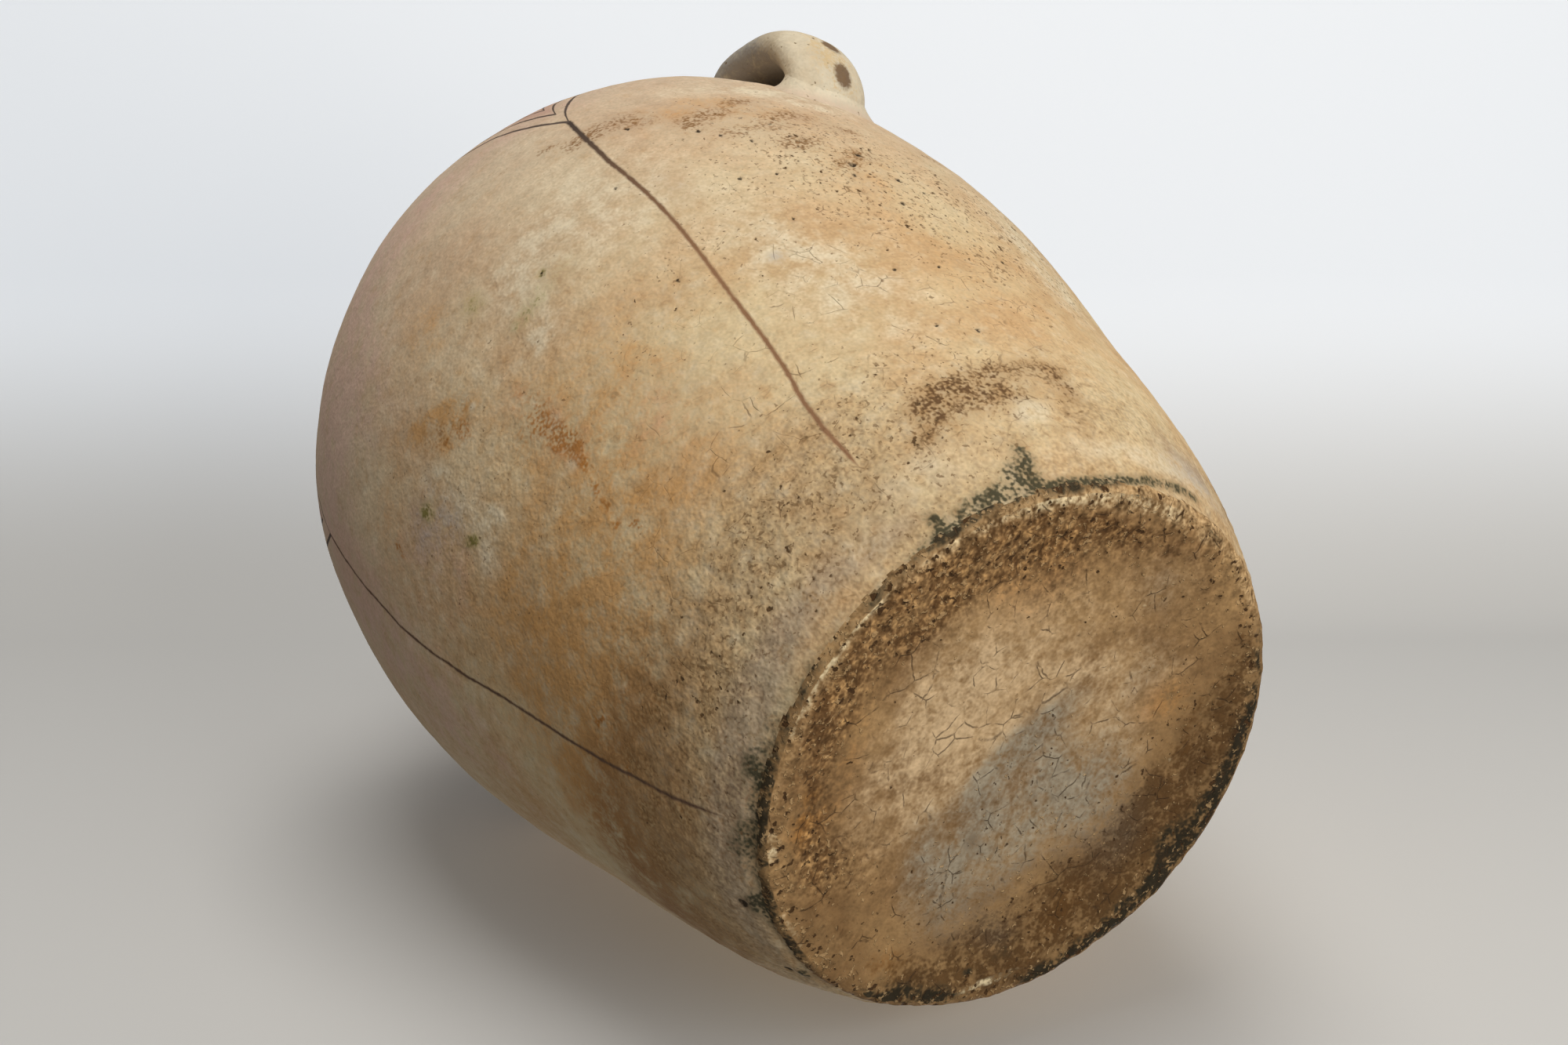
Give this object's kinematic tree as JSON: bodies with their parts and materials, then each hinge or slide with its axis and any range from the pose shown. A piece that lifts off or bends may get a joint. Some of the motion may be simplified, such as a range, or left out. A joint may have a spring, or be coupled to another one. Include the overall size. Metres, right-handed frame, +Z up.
{
  "type": "terracotta water jar",
  "caption": "Hand-built ovoid terracotta jar with a flat foot, round shoulder, short flared neck and opposed loop handles, cream slip and brown painted lines.",
  "frame": {"origin": "centre of the foot, on the plane of its resting ring", "axes": "+Z up the jar's axis from foot to mouth, +X through the middle of the right handle, +Y square to both"},
  "size_m": [0.4426, 0.3852, 0.5303],
  "materials": {
    "slipped_terracotta": "matt cream slip over low-fired terracotta, painted with brown lines",
    "bare_terracotta": "rough bare low-fired terracotta, worn and stained",
    "handle_terracotta": "matt cream slip with brown painted dots"
  },
  "bodies": {
    "root": {"base_slab": "bare_terracotta", "foot_coil": "bare_terracotta", "heel_course": "slipped_terracotta", "lower_wall_course": "slipped_terracotta", "middle_wall_course": "slipped_terracotta", "upper_wall_course": "slipped_terracotta", "belly_course": "slipped_terracotta", "lower_shoulder_course": "slipped_terracotta", "upper_shoulder_course": "slipped_terracotta", "crown_course": "slipped_terracotta", "neck_root_coil": "slipped_terracotta", "neck_collar": "slipped_terracotta", "mouth_rim": "slipped_terracotta", "handle_right": "handle_terracotta", "handle_left": "handle_terracotta", "handle_right_lower_luting": "handle_terracotta", "handle_right_upper_luting": "handle_terracotta", "handle_left_lower_luting": "handle_terracotta", "handle_left_upper_luting": "handle_terracotta"}
  },
  "joints": []
}
